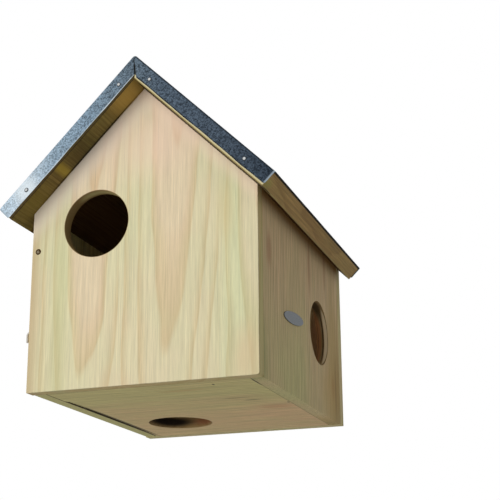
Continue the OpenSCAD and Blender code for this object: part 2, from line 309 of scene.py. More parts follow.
def galvanised_sheet(name):
    """Hot-dip galvanised steel: small zinc crystals, each reflecting at its own angle, so that the sheet
    looks speckled. The folded edges carry a painted reflection that runs from pale at the left eave to dark
    at the right one, and painted shade in dark rings round the nails."""
    made, tree, shader = new_material(name)
    place = in_mm(tree)
    x, y, z = add(tree, SPLIT, place).outputs
    normal = add(tree, SPLIT, add(tree, "ShaderNodeNewGeometry").outputs["Normal"]).outputs

    # Crystals some 1.2 mm across, and patches of them some 5 mm across. The pale left end is calmer
    warp = add(tree, NOISE, place, named={"Scale": 0.5, "Detail": 2.0}).outputs["Color"]
    warped = add(tree, VECTOR_MATH, warp, (1.2, 1.2, 1.2), place, operation="MULTIPLY_ADD")
    crystal, patch = (
        add(tree, SPLIT_COLOUR, add(tree, CELLS, warped, named={"Scale": per_mm}).outputs["Color"])
        for per_mm in (0.82, 0.2))
    cloud = add(tree, NOISE, place, named={"Scale": 0.03, "Detail": 4.0, "Roughness": 0.6})
    speckle = add(tree, MATH, crystal, 0.8, operation="MULTIPLY")
    speckle = add(tree, MATH, patch, 0.16, speckle, operation="MULTIPLY_ADD")
    speckle = add(tree, MATH, cloud, 0.3, speckle, operation="MULTIPLY_ADD")
    spread = add(tree, RANGE, speckle, 0.2, 1.05, 0.35, 1.75)
    calm = add(tree, RANGE, x, -SHEET_REACH_MM, -30.0, 0.5, 0.0)
    spread = add(tree, MIX, calm, spread, 1.0)

    # One tone on the roof, and on the folded edges a painted reflection that runs from pale at the left to
    # dark at the right
    along = add(tree, RANGE, x, -SHEET_REACH_MM, SHEET_REACH_MM, 0.0, 1.0)
    edge_reflection_tone = add(tree, RAMP, along, stops=[
        (0.0, "#b9cbd8"), (0.1, "#bccbd6"), (0.2, "#8ea2b1"), (0.33, "#7b8f9f"), (0.4, "#6a7b88"),
        (0.47, "#61707c"), (0.6, "#4e5b68"), (0.8, "#46515d"), (1.0, "#343e49")])
    upright = add(tree, MATH, normal["Y"], operation="ABSOLUTE")
    upright = add(tree, RANGE, upright, 0.4, 0.8, 0.0, 1.0)
    tone = add(tree, MIX, upright, named={"A": shade("#6f7f8d"), "B": edge_reflection_tone}, data_type="RGBA")
    tone = add(tree, MIX, 1.0, named={"A": tone, "B": spread}, data_type="RGBA", blend_type="MULTIPLY")

    # How far below the roof's plane and how far down the slope a point lies in mm, and whether it lies on
    # the right half and on a folded edge
    across = add(tree, MATH, x, operation="ABSOLUTE")
    below = add(tree, MATH, APEX_H / MM, z, operation="SUBTRACT")
    outwards = add(tree, MATH, across, -RISE, operation="MULTIPLY")
    deep = add(tree, MATH, below, RUN, outwards, operation="MULTIPLY_ADD")
    outwards = add(tree, MATH, across, RUN, operation="MULTIPLY")
    slope = add(tree, MATH, below, RISE, outwards, operation="MULTIPLY_ADD")
    right_half = add(tree, RANGE, x, -4.0, 4.0, 0.0, 1.0)
    half_y = (REAR_Y - VERGE_Y) / 2 / MM
    at_verge = add(tree, MATH, y, ROOF_MIDDLE_Y / MM, operation="SUBTRACT")
    at_verge = add(tree, MATH, at_verge, operation="ABSOLUTE")
    at_verge = add(tree, RANGE, at_verge, half_y - 2.6, half_y - 1.4, 0.0, 1.0)

    # A painted highlight on the cut edge of the left half and painted shade on that of the right one, whose
    # fold has a painted dark reflection as well
    cut_edge = add(tree, MIX, right_half, named={"A": shade("#e6f0f6"), "B": shade("#1d242b")},
                   data_type="RGBA")
    at_cut = add(tree, RANGE, deep, EDGE_DROP / MM - 1.3, EDGE_DROP / MM - 0.4, 0.0, 0.85)
    at_fold = add(tree, RANGE, deep, 1.2, 0.3, 0.0, 0.85)
    right_verge = add(tree, MATH, at_verge, right_half, operation="MULTIPLY")
    at_fold = add(tree, MATH, at_fold, right_verge, operation="MULTIPLY")
    # A painted highlight along the ends of the folded edges at the eave
    at_eave = add(tree, RANGE, slope, SHEET_END / MM - 2.4, SHEET_END / MM - 1.0, 0.0, 0.7)
    at_eave = add(tree, MATH, at_eave, at_verge, operation="MULTIPLY")
    # The lip over the eave has painted shade on its end and from below
    lip = add(tree, RANGE, slope, EAVE_U / MM - 2.0, EAVE_U / MM - 1.0, 0.0, 0.95)
    lip = add(tree, MATH, lip, add(tree, RANGE, normal["Z"], 0.2, -0.2, 0.0, 1.0), operation="MULTIPLY")
    lip = add(tree, MATH, lip, add(tree, MATH, 1.0, at_verge, operation="SUBTRACT"), operation="MULTIPLY")
    layers = [(at_cut, cut_edge), (at_fold, shade("#232b33")), (at_eave, shade("#a9b8c3")),
              (lip, shade("#1b1d20"))]

    # Painted shade in dark rings round the nails, and a painted highlight where the low left one has pulled
    # the sheet in. The sheet's halves mirror each other, so that one place across stands for both
    halves = add(tree, JOIN, across, 0.0, z)
    high, low = (add(tree, VECTOR_MATH, halves, nail_place("right", u, 0) / MM,
                     operation="DISTANCE").outputs["Value"] for u in NAIL_U)
    shine = add(tree, RANGE, low, 4.0, 24.0, 0.75, 0.0, interpolation_type="SMOOTHSTEP")
    left_half = add(tree, MATH, 1.0, right_half, operation="SUBTRACT")
    shine = add(tree, MATH, shine, left_half, operation="MULTIPLY")
    layers.append((add(tree, MATH, shine, at_verge, operation="MULTIPLY"), shade("#e9f2f6")))
    # Painted shade in a dark ring round each nail
    for near in (low, high):
        dent = add(tree, RANGE, near, 2.2, 3.2, 0.85, 0.0, interpolation_type="SMOOTHSTEP")
        layers.append((dent, shade("#20262c")))
    for share, colour in layers:
        tone = add(tree, MIX, share, named={"A": tone, "B": colour}, data_type="RGBA")

    rough = add(tree, RANGE, crystal.outputs[1], 0.0, 1.0, 0.34, 0.52)
    bump = add(tree, "ShaderNodeBump", named={
        "Strength": 0.35, "Distance": 0.05 * MM, "Height": crystal.outputs[2]})
    finish_shader(tree, shader, tone, rough, bump, Metallic=1.0)
    return made


def satin_metal(name, hex_code, roughness, blotch=0.25, marks=(), rim=None):
    """Zinc-plated steel, bright steel and anodised aluminium: satin metals with small dull blotches. rim is
    the colour of a painted shade laid on what doesn't face the front or the back, so that a domed head
    darkens towards its edge."""
    made, tree, shader = new_material(name)
    place = in_mm(tree)
    dull = add(tree, NOISE, place, named={"Scale": 0.8, "Detail": 3.0})
    level = add(tree, RANGE, dull, 0.3, 0.7, 1 - blotch, 1.0)
    tone = add(tree, MIX, 1.0, named={"A": shade(hex_code), "B": level}, data_type="RGBA",
               blend_type="MULTIPLY")
    tone = stained(tree, place, tone, marks)
    # Painted shade on what turns from the front and the back, which darkens a domed head towards its edge
    if rim:
        normal = add(tree, SPLIT, add(tree, "ShaderNodeNewGeometry").outputs["Normal"]).outputs
        aside = add(tree, RANGE, add(tree, MATH, normal["Y"], operation="ABSOLUTE"), 0.96, 0.9, 0.0, 0.9)
        tone = add(tree, MIX, aside, named={"A": tone, "B": shade(rim)}, data_type="RGBA")
    rough = add(tree, RANGE, dull, 0.3, 0.7, roughness + 0.15, roughness)
    finish_shader(tree, shader, tone, rough, Metallic=1.0)
    return made


# The colours of spring wood and summer wood, warm and green. The front gets the pale set, the other walls
# the warmer set made for the shaded side, and the floor one made for its view from below: lit and shaded
# copies of the same pine, whose warmth is painted in place of the warmer light on those faces
PALE = ("#e5d3b1", "#d8b88f"), ("#dcdbb0", "#cbc191")
SHADED = ("#e7cc9d", "#c8a571"), ("#dbd396", "#bab06f")
BELOW = ("#f6d4a1", "#d1a26c"), ("#e6da99", "#c1af6a")
SAWN = ("#c39e5f", "#9c773d"), ("#b2a55d", "#8f8140")

DARK = "#1d1408"
SEAM = "#4a4020"

# Places on the boards for the marks, in mm
WIDE, TALL, THICK, INNER = HALF_W / MM, WALL_H / MM, BOARD_T / MM, INNER_W / MM
UNDER, EAVE, VERGE = ROOF_T / MM, EAVE_U / MM, VERGE_Y / MM
OVERHANG = -169     # its middle, at the front


def bore(across, along, rim=0.7):
    """The mark of a hole's sawn wall, and of this many mm of its eased rim."""
    reach = HOLE_R / MM + rim
    return (across / MM, 0, along / MM), (reach, None, reach), "#8f7143", 0.8, 0.01


def open_mitre(hand):
    """Painted shade: what shows dark in the mitre of the sheet's folded edges, on the left (-1) or the right
    (1) board.
    """
    middle = EDGE_DROP / MM / 2
    return (hand * middle, middle, VERGE), (1.5 * middle, 1.5 * middle, 2), "#171a1c", 0.97, 0.15


# Painted shade on the roof's underside, and darker, redder painted shade on what of it lies over the room
# inside
SOFFIT_SHADE = ((0, UNDER, 0), (None, 0.6, None), "#40300f", 0.6, 0.5)
CEILING_SHADE = ((0, UNDER, (SIDE_FRONT + SIDE_BACK) / 2 / MM), (None, 1, (SIDE_BACK - SIDE_FRONT) / 2 / MM),
           "#4a1406", 0.6, 0.02)

FRONT_PINE = pine(
    "pine, planed, front", (0, FRONT_Y, 0), X, Z, PALE,
    [(-999, -70, 37.2, 0.12), (-27, 30, 39.2, 0.15), (92, 140, 30, 0.45)],
    # The edges' tint is painted light, warmer and a little dimmer than on the front
    ring_mm=14.0, contrast=1.3, lean=0.04, heart=(36, 0.65), edges="#f2e5c6",
    marks=[
        # The left edge, and a greener band beside it
        ((-137, 0, 100), (20, None, None), "#c3ac86", 0.65, 0.9),
        ((-100, 0, 90), (16, None, 260), "#c2c18e", 0.45, 0.9),
        # Painted light in strips along the roof, which lifts the shade that the overhang casts on the front
        ((-WIDE / 2, 0, TALL + WIDE / 2), (None, 1, 34), "#fff1de", 0.85, 1.0, -PITCH),
        ((WIDE / 2, 0, TALL + WIDE / 2), (None, 1, 22), "#ffe3c8", 0.6, 1.0, PITCH),
        # The pinker gable and low right corner, and a yellower place beside the right edge
        ((5, 0, 285), (85, None, 70), "#f4d2bc", 0.45, 0.9),
        ((122, 0, 18), (22, None, 60), "#dcbd96", 0.5, 0.9),
        ((100, 0, 190), (16, None, 60), "#d9c592", 0.4, 0.9),
        # The hole's wall, lit at its top
        bore(*FRONT_HOLE),
        ((-57, 8, 226), (36, 9, 10), "#d6c98a", 0.9, 0.7)])

SIDE_PINE = pine(
    "pine, planed, side", (HALF_W, 0, 0), Y, Z, SHADED,
    [(-999, -260, 30, 0.1), (20, 190, 40, 0.0)],
    ring_mm=6.0, contrast=2.4, taper=0.03, greener=(-0.001, -0.004), seed=4.0,
    marks=[
        # Warm shadow under the eave, and three pink streaks below it
        ((0, 0, TALL), (None, None, 14), "#ae7b2e", 0.75, 0.8),
        ((-118, 0, 148), (13, None, 32), "#a2694a", 0.5, 0.8),
        ((38, 0, 172), (7, None, 50), "#9a5a44", 0.5, 0.8),
        ((108, 0, 190), (8, None, 45), "#9c6148", 0.4, 0.8),
        # The greener low front corner, the browner back one, and paler wood with an orange streak before it
        ((-150, 0, 20), (40, None, 80), "#8d9a58", 0.5, 0.9),
        ((165, 0, 30), (60, None, 110), "#917431", 0.6, 0.9),
        ((142, 0, 85), (42, None, 140), "#bda05c", 0.6, 0.8),
        ((120, 0, 28), (50, None, 62), "#c6a865", 0.5, 0.8),
        ((138, 0, 42), (9, None, 26), "#a5713c", 0.4, 0.9),
        # The hole's wall: redder inside, pale outside, a dark line between, dark at its top and one more line
        bore(*SIDE_HOLE, rim=0.4),
        ((108, 12, 100), (26, 4.5, 44), "#b0774a", 0.85, 0.3),
        ((108, 2.9, 100), (26, 2.8, 44), "#ffe6ba", 0.95, 0.3),
        ((108, 6.4, 100), (26, 1.3, 44), DARK, 0.9, 0.6),
        ((92, 8, 142), (36, 7.5, 32), "#3c2c12", 0.85, 0.7),
        ((108, 12.6, 100), (26, 0.6, 44), "#4a2a18", 0.7, 0.6),
        # A brown streak behind the hole
        ((150, 0, 40), (6, None, 60), "#8a6238", 0.5, 0.8)])

DOOR_PINE = pine(
    "pine, planed, door", (-HALF_W, 0, 0), -Y, Z, SHADED,
    [(-999, -60, 35, 0.1), (10, 80, 30, 0.2)],
    ring_mm=9.0, contrast=1.6, taper=-0.05, seed=9.0,
    marks=[
        # The lower edge, and the shade in the slot beside the floor
        ((0, 6, 0), (None, 9, 3), "#cfc988", 0.8, 0.3),
        ((0, THICK + 0.3, 0), (None, 1.4, 4.5), "#2e2807", 0.95, 0.4)])

BACK_PINE = pine(
    "pine, planed, back", (0, BACK_Y, 0), -X, Z, SHADED,
    [(-999, -75, 30, 0.1), (-20, 40, 32, 0.0), (95, 160, 40, 0.3)],
    ring_mm=11.0, contrast=1.5, taper=0.06, seed=13.0,
    # Warm where light falls in through the side hole
    marks=[((-112, THICK, 120), (26, 2, 60), "#f5bd8c", 0.95, 0.8)])

FLOOR_PINE = pine(
    "pine, planed, floor", (0, 0, 0), Y, X, BELOW, [(-999, -250, 26, 0.3), (-60, 190, 40, 0.0)],
    ring_mm=6.0, contrast=2.4, taper=0.05, greener=(-0.002, -0.0008), seed=21.0,
    marks=[
        # A pink patch, and a warm streak near the front
        ((20, 0, 98), (22, None, 36), "#c58a5e", 0.4, 0.95),
        ((-105, 0, 30), (8, None, 40), "#c9a468", 0.4, 0.8),
        # The hole's wall: warm at one end, and dark with painted shade at the other
        bore(FLOOR_HOLE[1], FLOOR_HOLE[0]),
        ((118, 8, -26), (26, 9, 34), "#965a3b", 0.75, 0.7),
        ((100, 8, -72), (60, 9, 38), "#0f0503", 0.97, 0.6),
        # The shade along the slot, and the seams at the right side and at the front
        ((42, 0, -115.2), (150, 2, 3.4), "#3b350f", 0.9, 0.5),
        ((0, 0, INNER), (None, 2, 0.9), SEAM, 0.5, 0.5),
        ((SIDE_FRONT / MM, 0, 0), (0.9, 2, None), SEAM, 0.45, 0.5),
        # Two stopped pin heads, two dark checks in the grain and an open end of the seam
        ((-123.4, 0, 73.9), (4, 2, 1.6), DARK, 0.9, 0.5),
        ((0.9, 0, 120), (4, 2, 1.6), DARK, 0.9, 0.5),
        ((-28, 0, 86), (2.4, 2, 16), "#4a3a20", 0.8, 0.7),
        ((-44, 0, 70), (2.4, 2, 26), "#5c4d2e", 0.6, 0.8),
        ((-120, 0, 122), (22, 3, 1.2), DARK, 0.85, 0.4)])

ROOF_LEFT_PINE = pine(
    "pine, sawn, left roof", (0, 0, APEX_H), -SLOPES["left"][0], Y, SAWN,
    [(-999, -420, 30, 0.1), (-118, 180, 40, 0.3)], ring_mm=5.0, contrast=3.4, taper=0.05, seed=31.0,
    marks=[
        SOFFIT_SHADE, CEILING_SHADE,
        # Patches on the overhang's underside, from the ridge down
        ((-40, UNDER, OVERHANG), (38, 2, 60), "#cba654", 0.75, 0.95),
        ((-120, UNDER, OVERHANG), (30, 2, 60), "#33250e", 0.5, 0.9),
        ((-153, UNDER, OVERHANG), (10, 2, 60), "#c0a640", 0.6, 0.9),
        ((-200, UNDER, OVERHANG), (40, 2, 60), "#85752f", 0.5, 0.9),
        # The shade in the corner at the front, and under the sheet's cut edge
        ((-107, UNDER, FRONT_Y / MM - 1.6), (110, 1.5, 2.2), "#140d05", 0.85, 0.6),
        ((0, UNDER, VERGE), (None, 3.6, 0.9), "#2c2010", 0.9, 0.3),
        open_mitre(-1)])

ROOF_RIGHT_PINE = pine(
    "pine, sawn, right roof", (0, 0, APEX_H), SLOPES["right"][0], Y, SAWN,
    [(-999, -180, 24, 0.3), (118, 420, 30, 0.0)], ring_mm=4.0, contrast=3.2, taper=-0.02, seed=37.0,
    marks=[
        # The face at the eave, and a redder tint of the painted shade on the underside
        ((EAVE, 0, 0), (3, None, None), "#bf9474", 0.25, 0.3),
        SOFFIT_SHADE,
        ((0, UNDER, 0), (None, 0.6, None), "#4a2405", 0.3, 0.5),
        CEILING_SHADE,
        # The eave's lower edge with a painted highlight, its greener front end and the shade under the
        # sheet's lip
        ((EAVE, UNDER, 0), (1.3, 1.4, None), "#c2b97e", 0.6, 0.6),
        ((EAVE, 14, VERGE + 6), (3, 9, 18), "#a7a55a", 0.55, 0.8),
        ((EAVE, 0, 0), (1.0, 2.0, None), "#14120e", 0.9, 0.4),
        # The bare strip under the folded edge, its lower edge and the shade behind it
        ((0, 0, VERGE), (None, None, 0.8), "#d8cda2", 0.9, 0.4),
        ((0, UNDER, VERGE), (None, 1.3, 0.8), "#8d7a42", 0.85, 0.4),
        ((0, UNDER, VERGE + 15), (None, 1.0, 15), DARK, 0.8, 0.2),
        open_mitre(1)])

SHEET_METAL = galvanised_sheet("galvanised steel sheet")
SCREW_STEEL = satin_metal(
    "zinc-plated steel, screws", "#a8a7a2", 0.38,
    # A ring of painted shade round the head, and the middle of the head in a browner grey
    marks=[((PIVOT[0] / MM, 0, PIVOT[1] / MM), (3.7, None, 3.7), "#463012", 1.0, 0.1),
           ((PIVOT[0] / MM - 0.4, 0, PIVOT[1] / MM), (2.0, None, 2.0), "#b5a990", 0.95, 0.4)])
HOOK_STEEL = satin_metal("zinc-plated steel, hook", "#d9d3c8", 0.45)
# The nails' heads darken towards their edge with painted shade
NAIL_STEEL = satin_metal("galvanised steel, nails", "#dcdedd", 0.32, rim="#2a3036")
PIN_STEEL = satin_metal("bright steel, panel pins", "#8f8f8f", 0.35)
PLATE_METAL = satin_metal("anodised aluminium, plate", "#6b6f72", 0.5, blotch=0.2)


# Pieces

def in_scene(name, data):
    """A new object in the scene with this mesh, lamp or camera."""
    made = bpy.data.objects.new(name, data)
    bpy.context.scene.collection.objects.link(made)
    return made


def finished(mesh, name, material, body, slot, *nodes):
    """Puts a finished mesh into the scene as a piece that rides on a body and stands for these nodes."""
    mesh.name = name
    mesh.materials.clear()
    mesh.materials.append(material)
    piece = in_scene(name, mesh)
    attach(piece, body)
    if nodes:
        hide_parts(*nodes)


def as_mesh(bm, name):
    """A mesh with what was made in a bmesh, which is freed."""
    mesh = bpy.data.meshes.new(name)
    bm.to_mesh(mesh)
    bm.free()
    return mesh


def evaluated(carrier):
    """A plain mesh with the result of an object's modifiers. The object is removed."""
    bpy.context.view_layer.update()
    mesh = bpy.data.meshes.new_from_object(carrier.evaluated_get(bpy.context.evaluated_depsgraph_get()))
    bpy.data.objects.remove(carrier)
    return mesh


def ring_of(centre, radius_a, radius_b=None, steps=72, tilt=0.0):
    """Points round a circle, or round an oval tilted by an angle."""
    points = []
    for k in range(steps):
        angle = 2 * math.pi * k / steps
        a, b = radius_a * math.cos(angle), (radius_b or radius_a) * math.sin(angle)
        points.append((centre[0] + a * math.cos(tilt) - b * math.sin(tilt),
                       centre[1] + a * math.sin(tilt) + b * math.cos(tilt)))
    return points


ARRIS = math.radians(30)     # what two faces must differ by for their edge to be eased


def board_mesh(loops, thickness, place, ease=0.5 * MM, segments=3, reshape=None):
    """A board with this outline and these holes (the other loops), its middle plane put in place and its
    arrises eased as sandpaper leaves them."""
    bm = bmesh.new()
    edges = []
    for loop in loops:
        verts = [bm.verts.new((a, b, -thickness / 2)) for a, b in loop]
        edges += [bm.edges.new((verts[i - 1], verts[i])) for i in range(len(verts))]
    bmesh.ops.triangle_fill(bm, edges=edges, use_beauty=True)
    top = bmesh.ops.extrude_face_region(bm, geom=bm.faces[:])["geom"]
    raised = [v for v in top if isinstance(v, bmesh.types.BMVert)]
    bmesh.ops.translate(bm, vec=(0, 0, thickness), verts=raised)
    bmesh.ops.recalc_face_normals(bm, faces=bm.faces[:])
    if reshape:
        for v in bm.verts:
            reshape(v.co)
    sharp = [e for e in bm.edges if len(e.link_faces) == 2 and e.calc_face_angle() > ARRIS]
    bmesh.ops.bevel(bm, geom=sharp, offset=ease, segments=segments, profile=0.5, affect="EDGES",
                    clamp_overlap=True)
    # Only the walls of the holes are round
    for loop in loops[1:]:
        centre = sum((Vector(point) for point in loop), Vector((0, 0))) / len(loop)
        for face in bm.faces:
            reach = (face.calc_center_median().xy - centre).length - (Vector(loop[0]) - centre).length
            if abs(reach) < 0.2 * MM and abs(face.normal.z) < 0.1:
                face.smooth = True
    bmesh.ops.transform(bm, matrix=place, verts=bm.verts[:])
    bmesh.ops.recalc_face_normals(bm, faces=bm.faces[:])
    return as_mesh(bm, "board")


def drill(start, end, radius, end_radius=None):
    """A round tool from start to end, whose end may have another radius."""
    start, end = Vector(start), Vector(end)
    aim = (end - start).to_track_quat("Z", "Y").to_matrix().to_4x4()
    bm = bmesh.new()
    bmesh.ops.create_cone(bm, cap_ends=True, segments=32, radius1=radius, radius2=end_radius or radius,
                          depth=(end - start).length, matrix=Matrix.Translation((start + end) / 2) @ aim)
    return as_mesh(bm, "drill")


def bored(mesh, *drills):
    """The mesh with these holes in it."""
    for tool_mesh in drills:
        carrier, tool = in_scene("carrier", mesh), in_scene("tool", tool_mesh)
        cut = carrier.modifiers.new("bore", "BOOLEAN")
        cut.operation, cut.solver, cut.object = "DIFFERENCE", "EXACT", tool
        mesh = evaluated(carrier)
        bpy.data.objects.remove(tool)
    return mesh


def facing(right, up, origin):
    """A frame whose X and Y axes are these, for an outline drawn in them."""
    right, up = Vector(right), Vector(up)
    made = Matrix((right, up, right.cross(up))).transposed().to_4x4()
    made.translation = Vector(origin)
    return made


GABLE = [(-HALF_W, 0), (HALF_W, 0), (HALF_W, WALL_H), (0, PEAK_H), (-HALF_W, WALL_H)]
WORN = 2.5 * MM     # off the front's lower right corner
WORN_GABLE = [GABLE[0], (HALF_W - WORN, 0), (HALF_W - 0.3 * WORN, 0.3 * WORN), (HALF_W, WORN), *GABLE[2:]]


def pivot_bores(face_y, inwards):
    """The tools for a pivot screw's hole from a face: its shank's bore, and the cone for its head."""
    def at(depth):
        return PIVOT[0], face_y + inwards * depth, PIVOT[1]
    cone = PIVOT_HEAD_R - PIVOT_R
    return drill(at(-MM), at(PIVOT_LEN), PIVOT_R), drill(at(-MM), at(cone), PIVOT_HEAD_R + MM, PIVOT_R)


middle_y = FRONT_Y + BOARD_T / 2
hook_bore = drill((-HALF_W - MM, middle_y, HOOK_H), (-HALF_W + HOOK_GRIP, middle_y, HOOK_H), HOOK_R)
front = board_mesh([WORN_GABLE, ring_of(FRONT_HOLE, HOLE_R)], BOARD_T, facing(X, Z, (0, middle_y, 0)))
front = bored(front, *pivot_bores(FRONT_Y, 1), hook_bore)
finished(front, "front_board", FRONT_PINE, "box", "pine_front", "front_panel")

back = board_mesh([GABLE] + [ring_of(centre, FIXING_R, steps=24) for centre in FIXING_HOLES], BOARD_T,
                  facing(X, Z, (0, BACK_Y - BOARD_T / 2, 0)))
back = bored(back, *pivot_bores(BACK_Y, -1))
finished(back, "back_board", BACK_PINE, "box", "pine_wall", "back_panel")


def slope_side_top(co):
    """The side's top edge is planed to the roof's slope. The board's own Y runs up and its Z outwards."""
    if co.y > WALL_H - 1 * MM:
        co.y += (BOARD_T / 2 - co.z) * math.tan(PITCH)


SIDE_OUTLINE = [(SIDE_FRONT, 0), (SIDE_BACK, 0), (SIDE_BACK, WALL_H), (SIDE_FRONT, WALL_H)]
side = board_mesh([SIDE_OUTLINE, ring_of(SIDE_HOLE, HOLE_R)], BOARD_T,
                  facing(Y, Z, (HALF_W - BOARD_T / 2, 0, 0)), reshape=slope_side_top)
finished(side, "right_side_board", SIDE_PINE, "box", "pine_wall", "right_side_panel")

low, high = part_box("left_side_door")
door = board_mesh([[(low.y, low.z), (high.y, low.z), (high.y, high.z), (low.y, high.z)]], BOARD_T,
                  facing(Y, Z, ((low.x + high.x) / 2, 0, 0)))
door = bored(door, pivot_bores(FRONT_Y, 1)[0], pivot_bores(BACK_Y, -1)[0])
finished(door, "swing_out_side_board", DOOR_PINE, "door", "pine_wall", "left_side_door")

# The floor's left edge isn't cut quite straight: the slot beside it as (share of the depth, width in mm)
SLOT = [(0.0, 2.6), (0.14, 2.6), (0.16, 5.6), (0.4, 6.4), (0.7, 5.4), (1.0, 4.0)]
low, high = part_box("floor_panel")
left_edge = [(-INNER_W + wide * MM, low.y + (high.y - low.y) * share) for share, wide in SLOT]
floor_outline = [(high.x, low.y), (high.x, high.y), *reversed(left_edge)]
floor_board = board_mesh([floor_outline, ring_of(FLOOR_HOLE, HOLE_R)], BOARD_T,
                         facing(X, Y, (0, 0, BOARD_T / 2)))
finished(floor_board, "floor_board", FLOOR_PINE, "box", "pine_floor", "floor_panel")

ridge_cut = FOLD_U * RISE
ROOF_SECTION = [(FOLD_U, 0), (EAVE_U, 0), (EAVE_U, -ROOF_T), (UNDER_RIDGE, -ROOF_T),
                (ridge_cut * RISE, -ridge_cut * RUN)]
for word, material in (("left", ROOF_LEFT_PINE), ("right", ROOF_RIGHT_PINE)):
    roof = board_mesh([ROOF_SECTION], REAR_Y - VERGE_Y, facing(*SLOPES[word], (0, ROOF_MIDDLE_Y, APEX_H)),
                      ease=0.6 * MM)
    finished(roof, f"{word}_roof_board", material, "box", "pine_roof", f"roof_board_{word}")


# The folded sheet

EDGE_R = 0.9 * MM     # middle of the sheet's thickness, in the folds along the front and back
MID_RIDGE_R = RIDGE_R + SHEET_T / 2
MID_LIFT = SHEET_GAP + SHEET_T / 2
HALF_FLAT = (REAR_Y - VERGE_Y) / 2 + MID_LIFT - EDGE_R
EDGE_ARC = EDGE_R * math.pi / 2
RIDGE_ARC = MID_RIDGE_R * PITCH
BLANK_REACH = RIDGE_ARC + SHEET_END - FOLD_U
WHOLE_EDGE = 2.2 * MM     # how deep the folded edge still runs on over the ridge

# How many rows and columns of faces the blank has
RIDGE_STEPS, SLOPE_STEPS, FLAT_STEPS, FOLD_STEPS, EDGE_STEPS = 5, 60, 14, 5, 10


def edge_row(slope_columns, hand, y_sign, k):
    """A row of points of a folded edge, notched at the ridge, rounded at the eave and cut a little unevenly.
    hand is -1 on the left half and 1 on the right one."""
    down = k / EDGE_STEPS
    deep = WHOLE_EDGE + (EDGE_DROP + MID_LIFT - WHOLE_EDGE) * k / EDGE_STEPS
    notch = hand * (MITRE_TOP + (MITRE_LOW[hand] - MITRE_TOP) * (deep / EDGE_DROP))
    start = RIDGE_ARC + ((deep - MID_RIDGE_R) * RISE + notch) / RUN
    start = max(start, RIDGE_ARC) if k else RIDGE_ARC
    end = BLANK_REACH
    over = deep - (EDGE_DROP + MID_LIFT - CORNER_R)
    if over > 0:
        end -= CORNER_R - math.sqrt(max(0.0, CORNER_R ** 2 - over ** 2))
    # The snips leave a slow and a quick wave in the cut, and one edge of each half is cut fuller at the ridge
    row = []
    for column in slope_columns:
        x = start + (end - start) * (column - RIDGE_ARC) / (BLANK_REACH - RIDGE_ARC)
        wave = 0.35 * math.sin(x * 61 + 2 * hand) + 0.25 * math.sin(x * 143 + 1.3 * y_sign)
        fuller = 0.8 * (1 - x / BLANK_REACH) if hand * y_sign < 0 else 0.0
        y = HALF_FLAT + EDGE_ARC + (deep - EDGE_R) + (0.6 * wave + fuller) * MM * down ** 3
        row.append((hand * x, y_sign * y))
    return row


def blank_mesh():
    """The sheet before it is folded: X runs along it from the left eave to the right one, Y across it."""
    bm = bmesh.new()

    def grid(points_by_row):
        rows = [[bm.verts.new((x, y, 0)) for x, y in row] for row in points_by_row]
        for lower, upper in zip(rows, rows[1:]):
            for i in range(len(lower) - 1):
                bm.faces.new((lower[i], lower[i + 1], upper[i + 1], upper[i]))

    columns = [RIDGE_ARC * k / RIDGE_STEPS for k in range(RIDGE_STEPS + 1)]
    columns += [RIDGE_ARC + (BLANK_REACH - RIDGE_ARC) * (k / SLOPE_STEPS) for k in range(1, SLOPE_STEPS + 1)]
    rows = [HALF_FLAT * (k / FLAT_STEPS) for k in range(FLAT_STEPS + 1)]
    rows += [HALF_FLAT + EDGE_ARC * k / FOLD_STEPS for k in range(1, FOLD_STEPS + 1)]
    rows.append(HALF_FLAT + EDGE_ARC + WHOLE_EDGE - EDGE_R)
    xs = [-x for x in reversed(columns[1:])] + columns
    ys = [-y for y in reversed(rows[1:])] + rows
    grid([[(x, y) for x in xs] for y in ys])
    for y_sign in (-1, 1):
        for hand in (-1, 1):
            grid([edge_row(columns[RIDGE_STEPS:], hand, y_sign, k) for k in range(EDGE_STEPS + 1)])
    bmesh.ops.remove_doubles(bm, verts=bm.verts[:], dist=0.01 * MM)
    bmesh.ops.recalc_face_normals(bm, faces=bm.faces[:])
    return as_mesh(bm, "sheet_blank")


def modifier_tree(name, *floats):
    """A Geometry Nodes tree with a geometry input and output, these named sizes and a metal."""
    tree = bpy.data.node_groups.new(name, "GeometryNodeTree")
    tree.interface.new_socket("Geometry", in_out="OUTPUT", socket_type="NodeSocketGeometry")
    tree.interface.new_socket("Geometry", in_out="INPUT", socket_type="NodeSocketGeometry")
    for label in floats:
        tree.interface.new_socket(label, in_out="INPUT", socket_type="NodeSocketFloat")
    tree.interface.new_socket("Metal", in_out="INPUT", socket_type="NodeSocketMaterial")
    return tree, add(tree, "NodeGroupInput").outputs


def made_by(tree, mesh, values):
    """Runs a tree on a mesh with these input values and returns the result as a plain mesh."""
    carrier = in_scene("carrier", mesh)
    modifier = carrier.modifiers.new("nodes", "NODES")
    modifier.node_group = tree
    for item in tree.interface.items_tree:
        if item.item_type == "SOCKET" and item.in_out == "INPUT" and item.name in values:
            modifier[item.identifier] = values[item.name]
    return evaluated(carrier)


def bend(tree, length, radius, angle):
    """How far a length of sheet turns round a fold, as a sine and a cosine, and what is left of it."""
    turn = add(tree, MATH, length, radius, operation="DIVIDE")
    turn = add(tree, MATH, turn, angle, operation="MINIMUM")
    arc = add(tree, MATH, radius, angle, operation="MULTIPLY")
    beyond = add(tree, MATH, add(tree, MATH, length, arc, operation="SUBTRACT"), 0.0, operation="MAXIMUM")
    return add(tree, MATH, turn, operation="SINE"), add(tree, MATH, turn, operation="COSINE"), beyond


